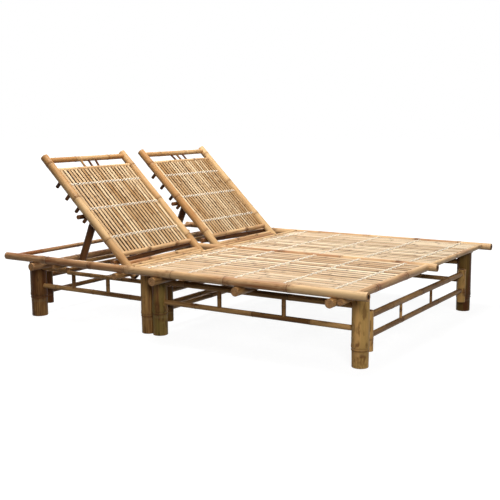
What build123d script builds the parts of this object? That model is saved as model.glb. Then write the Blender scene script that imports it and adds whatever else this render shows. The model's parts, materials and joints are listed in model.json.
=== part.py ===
from build123d import *
import math
import os

# Bamboo sun lounger for two people, in millimetres. X runs from head to foot, Z is up, the origin lies on
# the floor under the middle. Each half has a backrest that turns about the axle and a prop that turns about
# the prop pivot pole.

# Overall frame
overall_length = 2000.0
rail_spacing = 750.0
rail_underside_height = 304.5
near_rail_radius = 18.5
other_rail_radius = 18.0
centre_rail_setback = 10.0
cross_pole_overhang = 30.0

# Poles that run across, below the rails
cross_pole_radius = 19.5
head_cross_pole_inset = 200.0
foot_cross_pole_inset = 154.0
deck_cross_pole_shares = (0.1187, 0.518)
axle_radius = 15.5
axle_inset = 740.0
prop_pivot_radius = 11.0
prop_pivot_spacing = 403.0
prop_pivot_overhang = 10.0
end_block_radius = 13.5
end_block_inset = 114.0
end_block_length = 125.0
end_block_butt_share = 0.7

# Legs, stub posts, stretchers and spindles
leg_line_inset = 136.0
leg_top_gap = 0.5
head_leg_radius = 43.0
head_leg_inset = 73.0
head_leg_ring_height = 97.0
middle_leg_radius = 34.0
middle_leg_spacing = 60.0
middle_leg_ring_height = 84.0
deck_leg_radius = 37.0
leg_pair_seat = 0.5
deck_leg_ring_height = 103.0
foot_leg_radius = 37.0
foot_leg_inset = 97.0
foot_leg_ring_height = 73.0
leg_foot_share = 0.93
stub_radius = 21.0
stub_foot_height = 55.0
stub_top_height = 225.0
stub_offset = 8.0
upper_end_stretcher_radius = 14.0
upper_end_stretcher_height = 202.0
lower_end_stretcher_radius = 12.0
lower_end_stretcher_height = 117.0
thick_stretcher_radius = 14.5
thick_stretcher_length = 211.0
thin_stretcher_radius = 10.5
thin_stretcher_height = 241.0
foot_stretcher_radius = 14.0
lower_stretcher_radius = 12.0
lower_stretcher_height = 158.0
side_spindle_radius = 9.75
head_spindle_shares = (0.343, 0.6556)
foot_spindle_shares = (0.329, 0.652)
end_spindle_radius = 6.5
end_spindle_shares = (0.2982, 0.6184)

# Crossbars between the rails
head_crossbar_radius = 11.0
head_crossbar_inset = 50.0
head_crossbar_height = 325.0
near_foot_crossbar_radius = 17.0
near_foot_crossbar_inset = 60.0
far_foot_crossbar_radius = 12.0
far_foot_crossbar_inset = 55.0
far_foot_crossbar_top_height = 337.0

# Deck
deck_strip_count = 16
deck_strip_thickness = 8.0
deck_strip_gap = 4.0
deck_top_height = 335.0
deck_side_gap = 5.0
deck_rod_radius = 7.0
deck_rod_shares = (0.0674, 0.2734, 0.4892, 0.705, 0.9155)
edge_pole_radius = 7.5
edge_pole_spacing = 88.0
edge_pole_end_share = 0.6
strip_flat_share = 0.55
strip_edge_share = 0.55

# Backrests, measured along the rails from the axle and down from the rail axes
backrest_angle = 44.0
backrest_rail_radius = 20.0
backrest_outer_inset = 98.0
backrest_inner_line = 82.0
backrest_tail = 30.0
backrest_length = 760.0
front_low_bar_radius = 9.0
front_low_bar_distance = 30.0
front_low_bar_rise = 9.0
low_bar_radius = 12.0
low_bar_distance = 51.0
rear_bar_radius = 13.0
rear_bar_inner_distance = 114.0
rear_bar_outer_distance = 91.0
rear_bar_overhang = 18.0
bottom_bar_radius = 12.0
bottom_bar_distance = 110.0
second_bar_radius = 10.0
second_bar_inset = 93.0
top_bar_radius = 14.0
top_bar_inset = 26.0
slat_count = 21
slat_thickness = 7.0
slat_gap = 7.5
slat_top_rise = 6.0
slat_side_gap = 4.0
backing_rod_radius = 5.0
backrest_row_distances = (214.0, 398.0, 562.0)
fan_stick_radius = 5.5
fan_stick_top_shares = (0.605, 0.505, 0.4105)
fan_stick_bottom_shares = (0.607, 0.519, 0.437)
peg_radius = 9.0
peg_distances = (366.0, 434.0, 518.0, 601.0)
peg_tip_drop = 50.0
support_rod_radius = 11.0
support_rod_overhang = 18.0

# Props
prop_leg_radius = 18.5
prop_leg_inset = 85.0
prop_tail = 33.0
prop_top_slant = 9.55
prop_top_clearance = 1.3
prop_stick_radius = 8.0
prop_stick_distance = 225.0

# Twine
twine_radius = 2.0

# Bamboo detail
node_height_share = 0.05
node_width_share = 0.35
hollow_share = 0.5
hollow_depth = 14.0

# Places of the ridges, as shares of each pole's length
near_rail_node_shares = (0.1445, 0.2815, 0.394, 0.528, 0.668, 0.8235)
centre_rail_node_shares = (0.12, 0.3, 0.46, 0.59, 0.755, 0.9)
far_rail_node_shares = (0.17, 0.33, 0.49, 0.65, 0.79, 0.91)
axle_node_shares = (0.22, 0.47, 0.73)
prop_pivot_node_shares = (0.3, 0.48, 0.64, 0.83)
head_cross_pole_node_shares = (0.2, 0.44, 0.68, 0.86)
middle_cross_pole_node_shares = (0.12, 0.36, 0.62, 0.9)
deck_cross_pole_node_shares = (0.17, 0.4, 0.64, 0.85)
foot_cross_pole_node_shares = (0.13, 0.33, 0.6, 0.82)
outer_backrest_node_shares = (0.29, 0.635, 0.93)
inner_backrest_node_shares = (0.22, 0.55, 0.87)
front_low_bar_node_shares = (0.28, 0.6, 0.88)
low_bar_node_shares = (0.35, 0.7)
rear_bar_node_shares = (0.3, 0.66)
bottom_bar_node_shares = (0.25, 0.62)
second_bar_node_shares = (0.3, 0.72)
top_bar_node_shares = (0.24, 0.66)
support_rod_node_shares = (0.35, 0.75)
prop_leg_node_shares = (0.7,)
upper_stretcher_node_shares = (0.2, 0.5, 0.8)
lower_stretcher_node_shares = (0.3, 0.68)
thick_node_shares = (0.8,)
thin_node_shares = (0.3, 0.7)
head_lower_node_shares = (0.18, 0.52, 0.85)
foot_upper_node_shares = (0.15, 0.41, 0.68, 0.9)
foot_lower_node_shares = (0.2, 0.5, 0.78)
head_bar_node_shares = (0.4, 0.75)
near_bar_node_shares = (0.34, 0.755)
far_bar_node_shares = (0.45,)
edge_pole_node_shares = (0.3, 0.65)
spindle_node_shares = (0.55,)
stub_node_shares = (0.3,)

# Fits
seat_depth = 1.0
axle_seat = 0.5
peg_seat = 0.25
stub_seat = 1.5
flat_depth = 0.6
running_clearance = 0.05
strip_end_share = 0.5

head_end = -overall_length / 2
foot_end = overall_length / 2
cross_pole_reach = rail_spacing + cross_pole_overhang
prop_pivot_reach = rail_spacing + prop_pivot_overhang
leg_line = rail_spacing - leg_line_inset
leg_height = rail_underside_height - leg_top_gap
backrest_outer_line = rail_spacing - backrest_outer_inset
axle_place = head_end + axle_inset
prop_pivot_place = axle_place - prop_pivot_spacing
edge_pole_place = axle_place + edge_pole_spacing
head_leg_place = head_end + head_leg_inset
middle_leg_place = axle_place + middle_leg_spacing
deck_leg_place = middle_leg_place + middle_leg_radius + deck_leg_radius - leg_pair_seat
foot_leg_place = foot_end - foot_leg_inset
thick_stretcher_end_place = head_leg_place + thick_stretcher_length
head_cross_pole_place = head_end + head_cross_pole_inset
foot_cross_pole_place = foot_end - foot_cross_pole_inset
end_block_place = foot_end - end_block_inset
head_crossbar_place = head_end + head_crossbar_inset
near_foot_crossbar_place = foot_end - near_foot_crossbar_inset
far_foot_crossbar_place = foot_end - far_foot_crossbar_inset
cross_pole_height = rail_underside_height - cross_pole_radius + seat_depth
cross_pole_underside = cross_pole_height - cross_pole_radius
axle_height = rail_underside_height - axle_radius + axle_seat
prop_pivot_height = rail_underside_height - prop_pivot_radius + axle_seat
end_block_height = rail_underside_height - end_block_radius + seat_depth
thick_stretcher_height = cross_pole_underside - thick_stretcher_radius + seat_depth
foot_stretcher_height = cross_pole_underside - foot_stretcher_radius + seat_depth
deck_underside = deck_top_height - deck_strip_thickness
deck_rod_height = deck_underside - deck_rod_radius + flat_depth
deck_twine_height = deck_top_height + twine_radius - flat_depth
edge_pole_height = deck_underside + edge_pole_radius
slat_underside = slat_top_rise - slat_thickness
backing_rod_rise = slat_underside - backing_rod_radius + flat_depth
backrest_twine_rise = slat_top_rise + twine_radius - flat_depth
second_bar_distance = backrest_length - second_bar_inset
top_bar_distance = backrest_length - top_bar_inset
rear_bar_drop = backrest_rail_radius + rear_bar_radius - seat_depth
support_rod_drop = backrest_rail_radius + support_rod_radius - seat_depth
support_rod_distance = min(peg_distances) + peg_radius + support_rod_radius - peg_seat
near = -1
far = 1


def between(start, end, share):
    """The place at a share of the way from start to end."""
    return start + (end - start) * share


def bamboo(start, end, radius, nodes=(), hollow_start=False, hollow_end=False):
    """Round pole from start to end, with ridges at the given shares of its length and hollow cut ends."""
    direction = Vector(*end) - Vector(*start)
    length = direction.length
    ridge = radius * node_height_share
    half_width = radius * node_width_share
    bore = radius * hollow_share
    outline = [(0, hollow_depth), (bore, hollow_depth), (bore, 0)] if hollow_start else [(0, 0)]
    outline.append((radius, 0))
    for share in nodes:
        outline.append((radius, share * length - half_width))
        outline.append((radius + ridge, share * length))
        outline.append((radius, share * length + half_width))
    outline.append((radius, length))
    if hollow_end:
        outline.append((bore, length))
        outline.append((bore, length - hollow_depth))
        outline.append((0, length - hollow_depth))
    else:
        outline.append((0, length))
    section = make_face(Plane.XZ * Polyline(*outline, close=True))
    return Plane(origin=start, z_dir=direction) * revolve(section, Axis.Z)


def trimmed(shape, *cutters):
    """The largest solid left of a shape when other pieces are cut from it."""
    rest = shape
    for cutter in cutters:
        rest = rest - cutter
    return max(rest.solids(), key=lambda solid: solid.volume)


def space_above(height):
    """Block that fills the space over a height."""
    size = overall_length * 2
    return Pos(0, 0, height) * Box(size, size, size, align=(Align.CENTER, Align.CENTER, Align.MIN))


def space_below(height):
    """Block that fills the space under a height."""
    size = overall_length * 2
    return Pos(0, 0, height) * Box(size, size, size, align=(Align.CENTER, Align.CENTER, Align.MAX))


def split_strip(start, end, line, underside, width, thickness):
    """Flat strip of split bamboo along X, with bevelled upper edges."""
    half = width / 2
    flat = half * strip_flat_share
    edge = underside + thickness * strip_edge_share
    top = underside + thickness
    corners = (
        (start, line - half, underside),
        (start, line + half, underside),
        (start, line + half, edge),
        (start, line + flat, top),
        (start, line - flat, top),
        (start, line - half, edge),
    )
    return extrude(make_face(Polyline(*corners, close=True)), amount=end - start, dir=(1, 0, 0))


def save(name, *shapes):
    """Write one node with its separate solids."""
    solids = [solid for shape in shapes for solid in shape.solids()]
    export_step(Compound(children=solids), "parts/" + name + ".step")


def long_rail(line, radius, end_place, nodes):
    """One rail that runs from head to foot."""
    height = rail_underside_height + radius
    return bamboo((head_end, line, height), (end_place, line, height), radius, nodes, True, True)


def cross_pole(place, height, radius, reach, nodes, rails):
    """One pole that runs across under the three rails, with a shallow seat for each."""
    pole = bamboo((place, -reach, height), (place, reach, height), radius, nodes, True, True)
    return trimmed(pole, *rails)


def leg(place, line, radius, ring_height):
    """Upright leg with a swollen ring, a slimmer foot and a hollow top."""
    foot_radius = radius * leg_foot_share
    ring = radius * (1 + node_height_share)
    half_width = radius * node_width_share
    bore = radius * hollow_share
    outline = (
        (0, 0),
        (foot_radius, 0),
        (foot_radius, ring_height - half_width),
        (ring, ring_height),
        (radius, ring_height + half_width),
        (radius, leg_height),
        (bore, leg_height),
        (bore, leg_height - hollow_depth),
        (0, leg_height - hollow_depth),
    )
    section = make_face(Plane.XZ * Polyline(*outline, close=True))
    return Pos(place, line, 0) * revolve(section, Axis.Z)


def stub_line(leg_radius, side):
    """Where a stub post stands across, pressed against the inner side of its leg."""
    return side * (leg_line - leg_radius - stub_radius + stub_seat)


def stub_post(leg_place, leg_radius, side, legs):
    """Short post beside a leg."""
    place = leg_place + stub_offset
    line = stub_line(leg_radius, side)
    foot = (place, line, stub_foot_height)
    top = (place, line, stub_top_height)
    return trimmed(bamboo(foot, top, stub_radius, stub_node_shares, True, True), *legs)


def end_stretcher(leg_place, leg_radius, height, radius, nodes, posts):
    """Pole that runs across between two stub posts."""
    place = leg_place + stub_offset
    start = (place, stub_line(leg_radius, near), height)
    end = (place, stub_line(leg_radius, far), height)
    return trimmed(bamboo(start, end, radius, nodes), *posts)


def side_stretcher(start, end, line, radius, nodes, neighbours):
    """Pole that runs lengthwise beside the legs' line, from a place and height to another."""
    first = (start[0], line, start[1])
    last = (end[0], line, end[1])
    return trimmed(bamboo(first, last, radius, nodes), *neighbours)


def spindle(place, line, foot, top, radius, neighbours):
    """Thin upright between a lower and an upper stretcher."""
    return trimmed(bamboo((place, line, foot), (place, line, top), radius, spindle_node_shares), *neighbours)


def between_rails(side, place, height, radius, nodes, rails):
    """Pole that runs across one half, from the centre rail to a side rail."""
    start = (place, 0, height)
    return trimmed(bamboo(start, (place, side * rail_spacing, height), radius, nodes), *rails)


def edge_pole(side, side_rail_radius, rails):
    """Thin pole at the head end of the deck, with its ends on the rails' shoulders."""
    inner = other_rail_radius * edge_pole_end_share
    outer = rail_spacing - side_rail_radius * edge_pole_end_share
    start = (edge_pole_place, side * inner, edge_pole_height)
    end = (edge_pole_place, side * outer, edge_pole_height)
    return trimmed(bamboo(start, end, edge_pole_radius, edge_pole_node_shares), *rails)


def deck_half(side, foot_place, bars, rails):
    """Strips, rods and twine of one half of the deck."""
    inner = other_rail_radius + deck_side_gap
    outer = rail_spacing - near_rail_radius - deck_side_gap
    pitch = (outer - inner) / deck_strip_count
    start = edge_pole_place + edge_pole_radius * strip_end_share
    strips = []
    for index in range(deck_strip_count):
        line = side * (inner + pitch * (index + 0.5))
        width = pitch - deck_strip_gap
        plank = split_strip(start, foot_place, line, deck_underside, width, deck_strip_thickness)
        strips.append(trimmed(plank, *bars))
    rods = []
    rows = []
    for share in deck_rod_shares:
        place = between(edge_pole_place, near_foot_crossbar_place, share)
        rod = between_rails(side, place, deck_rod_height, deck_rod_radius, (), rails)
        rods.append(trimmed(rod, space_above(deck_underside)))
        first = (place, side * inner, deck_twine_height)
        row = bamboo(first, (place, side * outer, deck_twine_height), twine_radius)
        rows.append(trimmed(row, space_below(deck_top_height)))
    return strips, rods, rows


def backrest(side_name, side):
    """One backrest, drawn flat from the axle along X and then tilted into place."""
    lines = (side * backrest_inner_line, side * backrest_outer_line)
    pegs = []
    rails = []
    hole = Rot(90, 0, 0) * Cylinder(axle_radius + running_clearance, overall_length * 2)
    for line, nodes in zip(lines, (inner_backrest_node_shares, outer_backrest_node_shares)):
        rail_pegs = [
            bamboo((distance, line, 0), (distance, line, -peg_tip_drop), peg_radius)
            for distance in peg_distances
        ]
        tail = (-backrest_tail, line, 0)
        rail = bamboo(tail, (backrest_length, line, 0), backrest_rail_radius, nodes, True, True)
        rails.append(trimmed(rail, hole, *rail_pegs))
        pegs.extend(rail_pegs)

    def bar(distance, rise, radius, nodes):
        pole = bamboo((distance, lines[0], rise), (distance, lines[1], rise), radius, nodes)
        return trimmed(pole, *rails)

    front_low_bar = bar(
        front_low_bar_distance, front_low_bar_rise, front_low_bar_radius, front_low_bar_node_shares
    )
    low_bar = bar(low_bar_distance, 0, low_bar_radius, low_bar_node_shares)
    bottom_bar = bar(bottom_bar_distance, 0, bottom_bar_radius, bottom_bar_node_shares)
    second_bar = bar(second_bar_distance, 0, second_bar_radius, second_bar_node_shares)
    top_bar = bar(top_bar_distance, 0, top_bar_radius, top_bar_node_shares)
    reach = backrest_rail_radius + rear_bar_overhang
    first = (rear_bar_inner_distance, side * (backrest_inner_line - reach), -rear_bar_drop)
    last = (rear_bar_outer_distance, side * (backrest_outer_line + reach), -rear_bar_drop)
    rear_bar = bamboo(first, last, rear_bar_radius, rear_bar_node_shares, True, True)
    rear_bar = trimmed(rear_bar, *rails)

    inner = backrest_inner_line + backrest_rail_radius + slat_side_gap
    outer = backrest_outer_line - backrest_rail_radius - slat_side_gap
    pitch = (outer - inner) / slat_count
    start = bottom_bar_distance + bottom_bar_radius * strip_end_share
    end = second_bar_distance - second_bar_radius * strip_end_share
    slats = []
    for index in range(slat_count):
        line = side * (inner + pitch * (index + 0.5))
        slat = split_strip(start, end, line, slat_underside, pitch - slat_gap, slat_thickness)
        slats.append(trimmed(slat, bottom_bar, second_bar))
    rods = []
    rows = []
    for distance in backrest_row_distances:
        first = (distance, lines[0], backing_rod_rise)
        rod = bamboo(first, (distance, lines[1], backing_rod_rise), backing_rod_radius)
        rods.append(trimmed(rod, space_above(slat_underside), *rails))
        first = (distance, side * inner, backrest_twine_rise)
        row = bamboo(first, (distance, side * outer, backrest_twine_rise), twine_radius)
        rows.append(trimmed(row, space_below(slat_top_rise)))
    sticks = []
    for top_share, bottom_share in zip(fan_stick_top_shares, fan_stick_bottom_shares):
        foot = (second_bar_distance, between(*lines, bottom_share), 0)
        stick = bamboo(foot, (top_bar_distance, between(*lines, top_share), 0), fan_stick_radius)
        sticks.append(trimmed(stick, second_bar, top_bar))
    reach = backrest_rail_radius + support_rod_overhang
    first = (support_rod_distance, side * (backrest_inner_line - reach), -support_rod_drop)
    last = (support_rod_distance, side * (backrest_outer_line + reach), -support_rod_drop)
    support_rod = bamboo(first, last, support_rod_radius, support_rod_node_shares, True, True)
    support_rod = trimmed(support_rod, *rails, *pegs)

    pieces = {
        "side_rails": rails,
        "top_bar": [top_bar],
        "second_bar": [second_bar],
        "lower_bars": [front_low_bar, low_bar, bottom_bar],
        "rear_bar": [rear_bar],
        "slats": slats,
        "backing_rods": rods,
        "twine": rows,
        "fan_sticks": sticks,
        "pegs": pegs,
        "support_rod": [support_rod],
    }
    for piece_name, solids in pieces.items():
        placed = [backrest_plane * solid for solid in solids]
        save("backrest_" + side_name + "_" + piece_name, *placed)


def prop(side_name, side):
    """One prop: two legs that are cut slantwise below the support rod, and the stick that joins them."""
    inner = side * (backrest_inner_line + prop_leg_inset)
    outer = side * (backrest_outer_line - prop_leg_inset)
    hole = Rot(90, 0, 0) * Cylinder(prop_pivot_radius + running_clearance, overall_length * 2)
    reach = prop_direction.length + prop_leg_radius
    legs = []
    for line in (inner, outer):
        tail = (-prop_tail, line, 0)
        pole = bamboo(tail, (reach, line, 0), prop_leg_radius, prop_leg_node_shares, True)
        legs.append(trimmed(prop_plane * trimmed(pole, hole), prop_top_plane * space_above(0)))
    stick = bamboo((prop_stick_distance, inner, 0), (prop_stick_distance, outer, 0), prop_stick_radius)
    save("prop_" + side_name + "_legs", *legs)
    save("prop_" + side_name + "_cross_stick", trimmed(prop_plane * stick, *legs))


backrest_turn = math.radians(backrest_angle)
along_backrest = Vector(-math.cos(backrest_turn), 0, math.sin(backrest_turn))
above_backrest = Vector(math.sin(backrest_turn), 0, math.cos(backrest_turn))
axle_centre = Vector(axle_place, 0, axle_height)
backrest_plane = Plane(origin=axle_centre, x_dir=along_backrest, z_dir=above_backrest)
rod_centre = axle_centre + along_backrest * support_rod_distance - above_backrest * support_rod_drop
prop_pivot_centre = Vector(prop_pivot_place, 0, prop_pivot_height)
prop_direction = rod_centre - prop_pivot_centre
prop_upward = prop_direction.cross(Vector(0, 1, 0))
prop_plane = Plane(origin=prop_pivot_centre, x_dir=prop_direction, z_dir=prop_upward)
slant = math.radians(prop_top_slant)
toward_rod = above_backrest * math.cos(slant) - along_backrest * math.sin(slant)
prop_top_plane = Plane(
    origin=rod_centre - toward_rod * (support_rod_radius + prop_top_clearance),
    z_dir=toward_rod,
)

os.makedirs("parts", exist_ok=True)

rail_near = long_rail(near * rail_spacing, near_rail_radius, foot_end, near_rail_node_shares)
rail_centre = long_rail(0, other_rail_radius, foot_end - centre_rail_setback, centre_rail_node_shares)
rail_far = long_rail(far * rail_spacing, other_rail_radius, foot_end, far_rail_node_shares)
rails = (rail_near, rail_centre, rail_far)
save("rail_near", rail_near)
save("rail_centre", rail_centre)
save("rail_far", rail_far)

middle_cross_pole_place, deck_cross_pole_place = [
    between(edge_pole_place, near_foot_crossbar_place, share) for share in deck_cross_pole_shares
]
cross_pole_plan = {
    "cross_pole_head": (head_cross_pole_place, head_cross_pole_node_shares),
    "cross_pole_middle": (middle_cross_pole_place, middle_cross_pole_node_shares),
    "cross_pole_deck": (deck_cross_pole_place, deck_cross_pole_node_shares),
    "cross_pole_foot": (foot_cross_pole_place, foot_cross_pole_node_shares),
}
cross_poles = []
for name, (place, nodes) in cross_pole_plan.items():
    pole = cross_pole(place, cross_pole_height, cross_pole_radius, cross_pole_reach, nodes, rails)
    cross_poles.append(pole)
    save(name, pole)
axle = cross_pole(axle_place, axle_height, axle_radius, cross_pole_reach, axle_node_shares, rails)
save("hinge_axle", axle)
pivot_pole = cross_pole(
    prop_pivot_place, prop_pivot_height, prop_pivot_radius, prop_pivot_reach, prop_pivot_node_shares, rails
)
save("prop_pivot_pole", pivot_pole)

leg_plan = {
    "head": (head_leg_place, head_leg_radius, head_leg_ring_height),
    "middle": (middle_leg_place, middle_leg_radius, middle_leg_ring_height),
    "deck": (deck_leg_place, deck_leg_radius, deck_leg_ring_height),
    "foot": (foot_leg_place, foot_leg_radius, foot_leg_ring_height),
}
legs = []
posts = []
for side_name, side in (("near", near), ("far", far)):
    for name, (place, radius, ring_height) in leg_plan.items():
        solid = trimmed(leg(place, side * leg_line, radius, ring_height), *legs)
        legs.append(solid)
        save("leg_" + name + "_" + side_name, solid)
for name, (place, radius, ring_height) in leg_plan.items():
    posts.append(stub_post(place, radius, near, legs))
    posts.append(stub_post(place, radius, far, legs))
save("stub_posts", *posts)

end_stretcher_plan = (
    (upper_end_stretcher_height, upper_end_stretcher_radius, upper_stretcher_node_shares),
    (lower_end_stretcher_height, lower_end_stretcher_radius, lower_stretcher_node_shares),
)
stretchers = []
for place, radius, ring_height in leg_plan.values():
    for height, stretcher_radius, node_shares in end_stretcher_plan:
        stretchers.append(end_stretcher(place, radius, height, stretcher_radius, node_shares, posts))
save("end_stretchers", *stretchers)
end_spindles = []
for share in end_spindle_shares:
    place = foot_leg_place + stub_offset
    line = between(stub_line(foot_leg_radius, near), stub_line(foot_leg_radius, far), share)
    foot = lower_end_stretcher_height
    top = upper_end_stretcher_height
    end_spindles.append(spindle(place, line, foot, top, end_spindle_radius, stretchers))
save("spindles_end", *end_spindles)

head_start = head_leg_place
thick_ends = ((head_start, thick_stretcher_height), (thick_stretcher_end_place, thick_stretcher_height))
thin_ends = ((thick_stretcher_end_place, thin_stretcher_height), (middle_leg_place, thin_stretcher_height))
head_lower_ends = ((head_start, lower_stretcher_height), (middle_leg_place, lower_stretcher_height))
foot_upper_ends = ((deck_leg_place, foot_stretcher_height), (foot_leg_place, foot_stretcher_height))
foot_lower_ends = ((deck_leg_place, lower_stretcher_height), (foot_leg_place, lower_stretcher_height))
thick = []
thin = []
head_lower = []
foot_upper = []
foot_lower = []
stretcher_plan = (
    (thick, thick_ends, thick_stretcher_radius, thick_node_shares),
    (thin, thin_ends, thin_stretcher_radius, thin_node_shares),
    (head_lower, head_lower_ends, lower_stretcher_radius, head_lower_node_shares),
    (foot_upper, foot_upper_ends, foot_stretcher_radius, foot_upper_node_shares),
    (foot_lower, foot_lower_ends, lower_stretcher_radius, foot_lower_node_shares),
)
fixed = legs + cross_poles
side_spindles = []
for side in (near, far):
    line = side * leg_line
    for group, (start, end), radius, node_shares in stretcher_plan:
        group.append(side_stretcher(start, end, line, radius, node_shares, fixed))
    for share in head_spindle_shares:
        place = between(head_leg_place, middle_leg_place, share)
        ends = (lower_stretcher_height, thin_stretcher_height)
        side_spindles.append(spindle(place, line, *ends, side_spindle_radius, thin + head_lower))
    for share in foot_spindle_shares:
        place = between(deck_leg_place, foot_leg_place, share)
        ends = (lower_stretcher_height, foot_stretcher_height)
        side_spindles.append(spindle(place, line, *ends, side_spindle_radius, foot_upper + foot_lower))
save("stretchers_head_thick", *thick)
save("stretchers_head_thin", *thin)
save("stretchers_head_lower", *head_lower)
save("stretchers_foot_upper", *foot_upper)
save("stretchers_foot_lower", *foot_lower)
save("spindles_side", *side_spindles)

blocks = []
for side in (near, far):
    inner_line = leg_line + foot_leg_radius * end_block_butt_share
    outer = (end_block_place, side * (inner_line + end_block_length), end_block_height)
    inner = (end_block_place, side * inner_line, end_block_height)
    block = bamboo(outer, inner, end_block_radius, (), True)
    blocks.append(trimmed(block, *rails, *legs))
save("end_blocks", *blocks)

head_bars = []
for side in (near, far):
    height = head_crossbar_height
    radius = head_crossbar_radius
    head_bars.append(between_rails(side, head_crossbar_place, height, radius, head_bar_node_shares, rails))
near_bar_height = rail_underside_height + near_foot_crossbar_radius
far_bar_height = far_foot_crossbar_top_height - far_foot_crossbar_radius
near_foot_bar = between_rails(
    near, near_foot_crossbar_place, near_bar_height, near_foot_crossbar_radius, near_bar_node_shares, rails
)
far_foot_bar = between_rails(
    far, far_foot_crossbar_place, far_bar_height, far_foot_crossbar_radius, far_bar_node_shares, rails
)
near_edge_pole = edge_pole(near, near_rail_radius, rails)
far_edge_pole = edge_pole(far, other_rail_radius, rails)
save("crossbars_head", *head_bars)
save("crossbars_foot", near_foot_bar, far_foot_bar)
save("deck_edge_poles", near_edge_pole, far_edge_pole)

near_strip_end = near_foot_crossbar_place - near_foot_crossbar_radius * strip_end_share
far_strip_end = far_foot_crossbar_place - far_foot_crossbar_radius * strip_end_share
near_deck = deck_half(near, near_strip_end, (near_edge_pole, near_foot_bar), rails)
far_deck = deck_half(far, far_strip_end, (far_edge_pole, far_foot_bar), rails)
save("deck_strips_near", *near_deck[0])
save("deck_strips_far", *far_deck[0])
save("deck_rods", *near_deck[1], *far_deck[1])
save("deck_twine", *near_deck[2], *far_deck[2])

for side_name, local_side, side in (("near", 1, near), ("far", -1, far)):
    backrest(side_name, local_side)
    prop(side_name, side)
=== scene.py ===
"""Bamboo sun lounger for two people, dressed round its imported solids. Lengths are in metres."""

import json
import math
import random

import bpy
import numpy as np
from bpy.props import FloatProperty, FloatVectorProperty, PointerProperty
from bpy.types import Operator, Panel, PropertyGroup
from mathutils import Color, Matrix, Vector


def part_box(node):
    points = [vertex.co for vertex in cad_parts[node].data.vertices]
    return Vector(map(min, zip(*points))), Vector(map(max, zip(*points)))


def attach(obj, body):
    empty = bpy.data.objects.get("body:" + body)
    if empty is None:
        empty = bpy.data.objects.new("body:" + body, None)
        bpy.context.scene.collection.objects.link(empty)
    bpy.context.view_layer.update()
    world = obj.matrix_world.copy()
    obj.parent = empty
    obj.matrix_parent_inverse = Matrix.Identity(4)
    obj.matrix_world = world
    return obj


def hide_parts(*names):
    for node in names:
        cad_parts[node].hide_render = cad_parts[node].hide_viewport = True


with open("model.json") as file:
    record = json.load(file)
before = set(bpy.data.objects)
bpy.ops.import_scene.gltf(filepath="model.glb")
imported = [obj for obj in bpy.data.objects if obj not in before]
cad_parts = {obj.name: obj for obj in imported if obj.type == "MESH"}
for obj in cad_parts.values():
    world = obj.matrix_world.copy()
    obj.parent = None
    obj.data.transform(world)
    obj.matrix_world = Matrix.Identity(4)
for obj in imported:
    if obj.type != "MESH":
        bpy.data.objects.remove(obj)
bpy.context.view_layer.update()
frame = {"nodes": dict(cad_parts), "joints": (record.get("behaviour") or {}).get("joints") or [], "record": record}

bl_info = {
    "name": "Bamboo Sun Lounger",
    "version": (1, 0, 0),
    "blender": (4, 5, 0),
    "location": "View3D > Sidebar > Lounger",
    "description": "Builds a double bamboo sun lounger with two adjustable backrests",
    "category": "Object",
}

behaviour = frame["record"]["behaviour"]
body_of = {node: body for body, nodes in behaviour["bodies"].items() for node in nodes}
hinge_of = {joint["child"]: joint["pos_m"] for joint in frame["joints"]}

SIDES = ("near", "far")
SKIN, CUT, BORE = 0, 1, 2
LENGTHWISE = (1.0, 0.0, 0.0)
ACROSS = (0.0, 1.0, 0.0)
UPWARD = (0.0, 0.0, 1.0)
WHITE = (1.0, 1.0, 1.0, 1.0)

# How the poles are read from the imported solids
SAME_POINT = 1e-5
SAME_PLACE = 0.0005
RING_HEIGHT_IN_SOLIDS = 1.05
BORE_IN_SOLIDS = 0.5
BORE_SLACK = 0.05
FEWEST_BORE_POINTS = 5
RADIUS_SLACK = 0.004
OUTER_SHARE = 0.97
LEG_OUTER_SHARE = 0.99
NEARLY_UPRIGHT = 0.9
END_POINTS_SHARE = 0.7
SAWN_TOP_REACH = 1.6
ROD_BESIDE_MIDDLE = 0.1

# The forms at a node, as places and widths in radii up the pole from its ridge
RIDGE_WIDTH = 0.08
GROOVE_PLACE, GROOVE_WIDTH = 0.17, 0.07
SHOULDER_PLACE, SHOULDER_WIDTH = 0.38, 0.2
SWELL_WIDTH = 1.1
WAIST_WIDTH = 3.5
FAR_FROM_RING = 4.0
NO_RING = -99.0
NEAR_NODE = (
    -2.4, -1.7, -1.2, -0.85, -0.6, -0.42, -0.3, -0.21, -0.14, -0.09, -0.045, 0.0, 0.045, 0.09, 0.13, 0.17,
    0.21, 0.26, 0.32, 0.39, 0.48, 0.6, 0.8, 1.1, 1.6, 2.3,
)

# Poles
FEWEST_FACES_ROUND = 14
MOST_FACES_ROUND = 40
CLOSEST_STATIONS_SHARE = 0.03
CLEAR_OF_END_BEVELS = 3.0
WIDEST_BEVEL_SHARE = 0.12
DEEPEST_BORE_SHARE = 0.3
SHORTEST_BOWED_POLE = 0.5
BOW_RANGE = (0.4, 1.0)
SAWN_BEVELS = 1.5
GRAIN_REACH = 9.0
TONE_SPREAD = 0.05
TONE_SPREAD_BETWEEN_NODES = 0.07
SHARP_ANGLE = math.radians(42.0)

# Legs
LEG_SIDES = 44
LEG_STEPS = 16
LEG_BORE_DEPTH = 0.014
LEG_CLOSEST_STATIONS = 0.0008
LEG_BEVELS = 1.6
LEG_CLEAR_OF_END_BEVELS = 2.0
LEG_OVAL = 0.008
LEG_NARROWING_RATE = 9.0
CLEFT_DEPTH, CLEFT_START, CLEFT_PLACE, CLEFT_LENGTH, CLEFT_ANGLE = 0.012, 0.2, 1.2, 1.0, 0.28

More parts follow.
